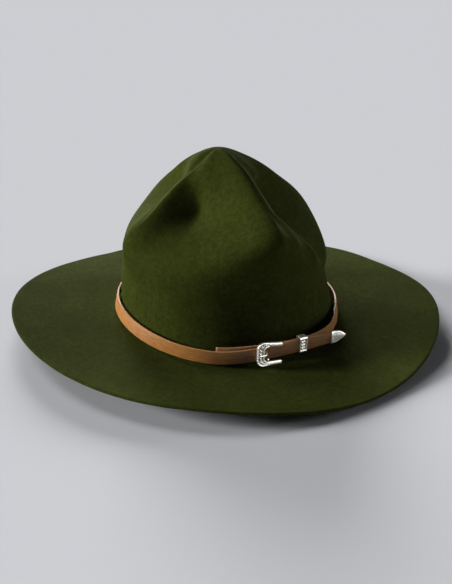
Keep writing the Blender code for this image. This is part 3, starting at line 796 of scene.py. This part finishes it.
def bowed_end(half, rim, corner):
    """Points of a U with rounded corners, from its lower arm's end to its upper arm's,
    with the same number of points whatever its size. The arms draw in towards their ends."""
    left, right = rim - BUCKLE_LENGTH / 2, BUCKLE_LENGTH / 2
    arm = np.linspace(right, left + corner, ARM_STEPS, endpoint=False)
    lower = points_of(arm, -half)
    t = np.radians(-90 - 90 * np.arange(CORNER_STEPS) / CORNER_STEPS)
    turn = points_of(left + corner * (1 + np.cos(t)), corner * (1 + np.sin(t)) - half)
    bow = np.linspace(corner - half, 0, BOW_STEPS, endpoint=False)
    points = np.concatenate([lower, turn, points_of(left, bow)])
    points = np.concatenate([points, [[left, 0]], points[::-1] * (1, -1)])
    narrowed = 1 - BUCKLE_NARROWS * smooth((points[:, 0] + BUCKLE_LENGTH / 2) / BUCKLE_LENGTH)
    return points * points_of(1, narrowed)


def rope(along, across):
    """Height of a two-strand rope from 0 to 1: a half round across it (-1 to 1), notched
    where one strand passes under the next, along slanting lines."""
    round_top = np.sqrt(np.clip(1 - across ** 2, 0, 1))
    notch = np.abs(np.cos(np.pi * (along / ROPE_PITCH + ROPE_SLANT * across)))
    return round_top * (1 - ROPE_NOTCH + ROPE_NOTCH * np.sqrt(notch))


def leaf_scroll(along, across):
    """Height of a running leaf scroll from 0 to 1: a stem that sways across the band
    (-1 to 1) as a sine, a bell curve wide, and slanting, veined leaves."""
    phase = 2 * np.pi * along / LEAF_PITCH
    stem = np.exp(-((across - STEM_SWAY * np.sin(phase)) / STEM_HALF) ** 2)
    leaf = np.clip(np.cos(phase + LEAF_SLANT * across) * LEAF_FULL - LEAF_SUNK, 0, 1) * (1 - across ** 2)
    veins = 1 - VEIN_DEPTH + VEIN_DEPTH * np.cos(VEINS * phase + VEIN_SLANT * across)
    return np.clip(np.maximum(stem, leaf * veins), 0, 1)


def add_on_strap(name, rings, material, bearing=BUCKLE_BEARING, ahead=0.0, row_loop=False):
    """A surface whose points are given on the strap, at a bearing or further along it."""
    matrix = np.array(place_on_strap(bearing, ahead))
    return add_surface(name, rings @ matrix[:3, :3].T + matrix[:3, 3], material, row_loop)


def make_buckle_frame(silver):
    """The C: for each step round it a closed section, whose top carries the relief and whose
    flat back has every fourth of its points."""
    outer = bowed_end(BUCKLE_WIDTH / 2, 0.0, BUCKLE_CORNER)
    inner = bowed_end(BUCKLE_WIDTH / 2 - BUCKLE_ARM, BUCKLE_RIM, BUCKLE_INNER_CORNER)
    middle = (outer + inner) / 2
    along = lengths_along(middle)[:, None]
    v = np.linspace(0, 1, FACE_COLUMNS)[None]
    edge = rope(along, 2 * v / ROPE_SHARE - 1)
    field = (v - ROPE_SHARE) / (1 - ROPE_SHARE - BEAD_SHARE) * 2 - 1
    leaves = LEAF_FLOOR + LEAF_HEIGHT * leaf_scroll(along, np.clip(field, -1, 1))
    bead = np.sqrt(np.clip(1 - ((v - 1 + BEAD_SHARE / 2) / (BEAD_SHARE / 2)) ** 2, 0, 1))
    carved = np.where(v < ROPE_SHARE, edge, np.where(v > 1 - BEAD_SHARE, bead, leaves))
    bow = smooth((BOW_ENDS - middle[:, :1]) / BOW_FADE)
    height = carved * bow + rope(along, 2 * v - 1) * (1 - bow)
    back = STRAP / 2 + BUCKLE_LIFT
    plan = outer[:, None] * (1 - v[..., None]) + inner[:, None] * v[..., None]
    top = raised(plan, back + BUCKLE_THICK * (1 - RELIEF_SHARE + RELIEF_SHARE * height))
    rings = np.concatenate([top, raised(plan[:, ::-4], back)], 1)
    frame_piece = add_on_strap("buckle_frame_surface", rings, silver)
    dark = np.zeros(rings.shape[:2])
    dark[:, :FACE_COLUMNS] = hollow_share(height, BUCKLE_HOLLOW_BELOW)
    add_attribute(frame_piece, "hollow_and_pocket_shade", dark)
    return frame_piece


def sweep(path, radii, sides=20):
    """Rings of a round wire along a path that bends in the strap's X and Z, or Y and Z."""
    along = unit(np.gradient(path, axis=0))
    flat = unit(np.cross(path[-1] - path[0], path[len(path) // 2] - path[0]))
    up = unit(np.cross(flat, along))[:, None]
    t = np.linspace(0, 2 * np.pi, sides, endpoint=False)[:, None]
    return path[:, None] + (flat * np.cos(t) - up * np.sin(t)) * radii[:, None, None]


def rounded_path(points, passes=3):
    """A bent line's corners cut a quarter of the way in, some times over, ends kept."""
    points = np.array(points, float)
    for _ in range(passes):
        near = 0.75 * points[:-1] + 0.25 * points[1:]
        far = 0.25 * points[:-1] + 0.75 * points[1:]
        middle = np.stack([near, far], 1).reshape(-1, 3)
        points = np.concatenate([points[:1], middle[1:-1], points[-1:]])
    return points


def make_buckle_bar(silver):
    """The bar and its two lugs: one staple from arm to arm behind the strap."""
    x = BAR_PLACE - BUCKLE_LENGTH / 2
    y = (BUCKLE_WIDTH - BUCKLE_ARM) / 2 * (1 - BUCKLE_NARROWS / 2)
    low = -STRAP / 2 - CLEARANCE - BAR_RADIUS
    high = STRAP / 2 + BUCKLE_LIFT + BUCKLE_THICK / 3
    path = rounded_path([(x, -y, high), (x, -y, low), (x, y, low), (x, y, high)])
    return add_on_strap("buckle_bar_surface", sweep(path, np.full(len(path), BAR_RADIUS)), silver)


silver_metal = make_silver_material()
for piece in (make_buckle_frame(silver_metal), make_buckle_bar(silver_metal)):
    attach(piece, "root")
    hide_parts("buckle_frame")

# Prong: a cast pin of the same metal. It stands beside the bar, comes up through the
# strap's hole and rests on the bowed end, where it thins to a round point.
Bend = namedtuple("Bend", "ahead out radius")
PRONG_BENDS = (
    Bend(9.1, -2.3, 0.75),
    Bend(8.9, 0.6, 0.75),
    Bend(7.5, 4.2, 0.75),
    Bend(5.4, 5.1, 0.72),
    Bend(2.2, 5.1, 0.60),
    Bend(1.8, 5.05, 0.30),
)


def make_prong(silver):
    """A round wire through the bends, its radius eased from one to the next."""
    bends = rounded_path([(bend.ahead, bend.out, bend.radius) for bend in PRONG_BENDS]) * MM
    path = points_of(bends[:, 0] - BUCKLE_LENGTH / 2, 0, bends[:, 1])
    return add_on_strap("buckle_prong_surface", sweep(path, bends[:, 2]), silver)


buckle_prong = make_prong(silver_metal)
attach(buckle_prong, "root")
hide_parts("buckle_prong")

# Keeper: a flat loop of the same metal round both runs of the strap. Its face has a
# raised bar above and below and a leaf scroll between them.
KEEPER_PLACE = 31.0 * MM         # from the buckle's middle
KEEPER_LENGTH = 6.6 * MM
KEEPER_WALL = 0.7 * MM
KEEPER_DEPTH = 6.8 * MM          # outside, through both runs
KEEPER_HEADROOM = 0.3 * MM       # more room above the strap than below it
KEEPER_CORNER = 1.3 * MM
KEEPER_FIELD = 4.6 * MM          # half height of the scroll between the two bars
KEEPER_STEPS = 360
KEEPER_COLUMNS = 41              # across the wall's outside
KEEPER_LOW = 0.15                # of the wall that the ground lies below its middle
KEEPER_RELIEF = 0.65             # of the wall that the full relief adds to that
SCROLL_HEIGHT = 0.55
SCROLL_QUICKER = 1.25            # the keeper's scroll has a shorter pitch than the buckle's
SCROLL_WIDER = 1.1               # and ends a little inside its band
RIM_HEIGHT = 0.8
RIM_FROM = 0.78                  # of the half length, where the raised rim begins
RIM_FADE = 0.10
BAR_HEIGHT = 0.9
BAR_FADE = 0.5 * MM
ROUND_FROM = 0.92                # of the half length, where the edge rounds off
ROUND_SHARE = 0.5                # of the height there that it loses
KEEPER_DARK = 0.8


def keeper_path():
    """Middle line of the loop's wall, across the strap and out of its face, as even steps
    round a rectangle with rounded corners, with the outward normal at each step."""
    low = -STRAP_WIDTH / 2 - CLEARANCE - KEEPER_WALL / 2
    high = -low + KEEPER_HEADROOM
    front = STRAP / 2 + CLEARANCE + KEEPER_WALL / 2
    back = front - KEEPER_DEPTH + KEEPER_WALL
    corners = rounded_section((high - low) / 2, (front - back) / 2, KEEPER_CORNER, steps=12)
    corners = np.concatenate([corners, corners[:1]]) + ((high + low) / 2, (front + back) / 2)
    length = lengths_along(corners)
    even = np.linspace(0, length[-1], KEEPER_STEPS, endpoint=False)
    path = np.stack([np.interp(even, length, corners[:, k]) for k in range(2)], -1)
    step = unit(np.roll(path, -1, 0) - np.roll(path, 1, 0))
    return path, points_of(step[:, 1], -step[:, 0])


def make_keeper(silver):
    """The wall's section carried round the loop, thicker by its relief on the outside, with
    every eighth of its points on the inside."""
    path, normal = keeper_path()
    along, across = path[:, :1], np.linspace(-1, 1, KEEPER_COLUMNS)[None]
    scroll = SCROLL_HEIGHT * leaf_scroll(along * SCROLL_QUICKER, across * SCROLL_WIDER)
    rims = RIM_HEIGHT * smooth((np.abs(across) - RIM_FROM) / RIM_FADE)
    bars = BAR_HEIGHT * smooth((np.abs(along) - KEEPER_FIELD) / BAR_FADE)
    relief = np.maximum(np.maximum(scroll, rims), bars)
    over = np.clip((np.abs(across) - ROUND_FROM) / (1 - ROUND_FROM), 0, 1)
    outside = KEEPER_WALL * (KEEPER_RELIEF * relief - KEEPER_LOW) * (1 - ROUND_SHARE * over ** 2)
    x = KEEPER_LENGTH / 2 * across
    wall = path[:, None] + normal[:, None] * outside[..., None]
    inside = (path - normal * KEEPER_WALL / 2)[:, None]
    lining = points_of(x, inside[..., 0], inside[..., 1])[:, ::-8]
    rings = np.concatenate([points_of(x, wall[..., 0], wall[..., 1]), lining], 1)
    keeper = add_on_strap("keeper_loop_surface", rings, silver, ahead=KEEPER_PLACE, row_loop=True)
    dark = np.zeros(rings.shape[:2])
    dark[:, :KEEPER_COLUMNS] = KEEPER_DARK * hollow_share(relief)
    add_attribute(keeper, "hollow_and_pocket_shade", dark)
    return keeper


keeper_loop = make_keeper(silver_metal)
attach(keeper_loop, "root")
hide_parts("keeper_loop")

# Tip: a domed point of the same metal, pressed over the strap's end and held by its
# pocket. It has a rope band at its base, a raised rim and a leaf scroll.
TIP_LENGTH = 14.5 * MM
TIP_WIDTH = 10.8 * MM
TIP_THICK = 3.4 * MM
TIP_POINT_POWER = 2.6            # how full the tip stays before it comes to its point
TIP_THINNING = 0.45              # share of its thickness that the tip loses at its point
TIP_ROWS = 89
TIP_COLUMNS = 120
TIP_BUNCHING = 1.15              # power by which the rows gather at the base
TIP_SQUARE = 3.2                 # power of the section at the base
TIP_ROUNDING = 1.1               # what that power loses
TIP_ROUNDS_FROM = 0.3            # share of the length where it begins to
TIP_ROUNDS_OVER = 0.25
POCKET_SQUARE = 9                # power of the pocket's section
TIP_BAND = 2.0 * MM              # length of the rope band
TIP_ROPE_QUICKER = 1.3
TIP_RIM = 0.9 * MM               # width of the raised rim
TIP_RIM_FADE = 0.4 * MM
TIP_RIM_HEIGHT = 0.75
TIP_LEAF_HEIGHT = 0.6
TIP_LEAF_QUICKER = 1.2
TIP_RELIEF = 0.28 * MM
TIP_RELIEF_RISE = 1.5            # how fast it comes in from the tip's edge
TIP_DARK = 0.35
# Painted shade inside the tip's pocket, round the strap's end
POCKET_PAINTED_SHADE = 0.9


def tip_ring(half_wide, half_thick, power):
    """A closed section: |across/half wide|^power + |out/half thick|^power = 1."""
    t = np.linspace(-np.pi / 2, 1.5 * np.pi, TIP_COLUMNS, endpoint=False)
    c, s = np.cos(t), np.sin(t)
    across = half_wide * np.sign(c) * np.abs(c) ** (2 / power)
    return across, half_thick * np.sign(s) * np.abs(s) ** (2 / power)


def make_tip(silver):
    """From the bottom of its pocket out over the base's rim and along to the point."""
    f = (np.arange(TIP_ROWS)[:, None] / TIP_ROWS) ** TIP_BUNCHING
    half = TIP_WIDTH / 2 * (1 - f ** TIP_POINT_POWER)
    thick = TIP_THICK / 2 * (1 - TIP_THINNING * f ** 2)
    power = TIP_SQUARE - TIP_ROUNDING * smooth((f - TIP_ROUNDS_FROM) / TIP_ROUNDS_OVER)
    across, out = tip_ring(half, thick, power)
    x = TIP_LENGTH * f
    rim = TIP_RIM_HEIGHT * (1 - smooth((half - np.abs(across) - TIP_RIM) / TIP_RIM_FADE))
    leaves = TIP_LEAF_HEIGHT * leaf_scroll(x * TIP_LEAF_QUICKER, across / half)
    band = rope(across * TIP_ROPE_QUICKER, 2 * x / TIP_BAND - 1)
    relief = np.where(x < TIP_BAND, band, np.maximum(rim, leaves))
    relief = np.where(out > 0, relief, 1.0)
    out = out - TIP_RELIEF * (1 - relief) * smooth(TIP_RELIEF_RISE * out / thick)
    pocket = tip_ring(STRAP_END_WIDTH / 2 + CLEARANCE, STRAP / 2 + CLEARANCE, POCKET_SQUARE)
    pocket_ends = np.array([[CLEARANCE], [-TIP_POCKET]])
    rings = np.concatenate([points_of(pocket_ends, *pocket), points_of(x - TIP_POCKET, across, out)])
    tip = add_on_strap("strap_tip_surface", rings, silver, STRAP_PATH[-1].bearing, FREE_LENGTH)
    # The pocket is painted dark as shade, and the relief is darker in its hollows
    dark = np.full(rings.shape[:2], POCKET_PAINTED_SHADE)
    dark[len(pocket_ends):] = TIP_DARK * hollow_share(relief)
    add_attribute(tip, "hollow_and_pocket_shade", dark)
    return tip


strap_tip = make_tip(silver_metal)
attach(strap_tip, "root")
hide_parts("strap_tip")

# Floor: a plain pale sheet under the hat.
FLOOR_HALF = 6.0
FLOOR_DROP = 0.3 * MM            # keeps the floor clear of the felt that lies on it
PALE = (0.62, 0.63, 0.66, 1)
floor_material, floor_shader = shader_of("floor")
set_inputs(floor_material, floor_shader, {
    "Base Color": PALE,
    "Roughness": 0.9,
    "Specular IOR Level": 0.0,
})
corners = [(x * FLOOR_HALF, y * FLOOR_HALF, -FLOOR_DROP) for x, y in ((-1, -1), (1, -1), (1, 1), (-1, 1))]
floor = add_mesh("floor", corners, [(0, 1, 2, 3)], floor_material)

# Backdrop: a plain pale wall far round the floor. It glows evenly and only the camera sees
# it, so it lights nothing and hides no lamp.
BACKDROP_AWAY = 5.9
BACKDROP_HEIGHT = 6.0
BACKDROP_SIDES = 96
backdrop_plan = BACKDROP_AWAY * direction(np.linspace(0, 360, BACKDROP_SIDES, endpoint=False))
backdrop_points = np.concatenate([raised(backdrop_plan, 0), raised(backdrop_plan, BACKDROP_HEIGHT)])
low_here = np.arange(BACKDROP_SIDES)
low_beside = np.roll(low_here, -1)
backdrop_faces = points_of(low_beside, low_here, low_here + BACKDROP_SIDES, low_beside + BACKDROP_SIDES)
backdrop_material, backdrop_shader = shader_of("backdrop")
set_inputs(backdrop_material, backdrop_shader, {
    "Base Color": (0, 0, 0, 1),
    "Specular IOR Level": 0.0,
    "Emission Color": PALE,
    "Emission Strength": 1.0,
})
backdrop = add_mesh("backdrop", backdrop_points.tolist(), backdrop_faces.tolist(), backdrop_material)
for sight in ("visible_diffuse", "visible_glossy", "visible_transmission", "visible_shadow"):
    setattr(backdrop, sight, False)

# Light: soft suns. The main ones are low, one behind the hat and one on its front right,
# as in the photograph. A white card is mirrored by the shiny things and lights nothing else.
Lamp = namedtuple("Lamp", "name bearing up spread strength")
LAMPS = (
    Lamp("window", 147, 20, 22, 3.2),
    Lamp("side", 227.5, 15, 15, 4.0),
    Lamp("far_side", 60, 10, 16, 0.78),
    Lamp("top", 190, 42, 24, 1.1),
)
CARD_PLACE = (1.1, -0.25, 0.45)
CARD_SIZE = 1.5
CARD_POWER = 26
ROOM_COLOUR = (0.95, 0.97, 1.0, 1)
ROOM_STRENGTH = 0.02


def sight_line(bearing, up):
    """Unit vector from the hat towards a bearing, so many degrees up."""
    rise = math.radians(up)
    return Vector((*direction(bearing) * math.cos(rise), math.sin(rise)))


for lamp in LAMPS:
    light = bpy.data.lights.new(lamp.name, "SUN")
    light.angle = math.radians(lamp.spread)
    light.energy = lamp.strength
    holder = add_object(lamp.name, light)
    holder.rotation_euler = sight_line(lamp.bearing, lamp.up).to_track_quat("Z", "Y").to_euler()
card_light = bpy.data.lights.new("card", "AREA")
card_light.size = CARD_SIZE
card_light.energy = CARD_POWER
card = add_object("card", card_light)
card.visible_diffuse = False
card.location = CARD_PLACE
card.rotation_euler = Vector(CARD_PLACE).to_track_quat("Z", "Y").to_euler()
room = bpy.data.worlds.new("room")
room.use_nodes = True
air = room.node_tree.nodes["Background"]
air.inputs["Color"].default_value = ROOM_COLOUR
air.inputs["Strength"].default_value = ROOM_STRENGTH
scene.world = room
scene.view_settings.view_transform = "Standard"

# Camera: at the photograph's angle, above the wearer's left front, a little tilted.
CAMERA_BEARING = -46
CAMERA_UP = 25
CAMERA_ROLL = math.radians(1.8)
CAMERA_AWAY = 0.80
CAMERA_AIM = Vector((0, 0, 0.013))
PICTURE_HEIGHT = 584             # pixels
PICTURE_FOCAL = 910              # focal length in the same pixels
PICTURE_SHIFT = (-1.8, 10.2)     # aim from the picture's middle, in pixels
SENSOR = 36                      # millimetres over the picture's height

back = sight_line(CAMERA_BEARING, CAMERA_UP)
right = sight_line(CAMERA_BEARING + 90, 0)
up = back.cross(right)
rolled_right = right * math.cos(CAMERA_ROLL) + up * math.sin(CAMERA_ROLL)
rolled_up = back.cross(rolled_right)
camera_data = bpy.data.cameras.new("camera")
camera_data.sensor_width = SENSOR
camera_data.lens = PICTURE_FOCAL * SENSOR / PICTURE_HEIGHT
camera_data.shift_x = PICTURE_SHIFT[0] / PICTURE_HEIGHT
camera_data.shift_y = PICTURE_SHIFT[1] / PICTURE_HEIGHT
camera = add_object("camera", camera_data)
camera.matrix_world = Matrix((rolled_right, rolled_up, back)).transposed().to_4x4()
camera.location = CAMERA_AIM + back * CAMERA_AWAY
scene.camera = camera
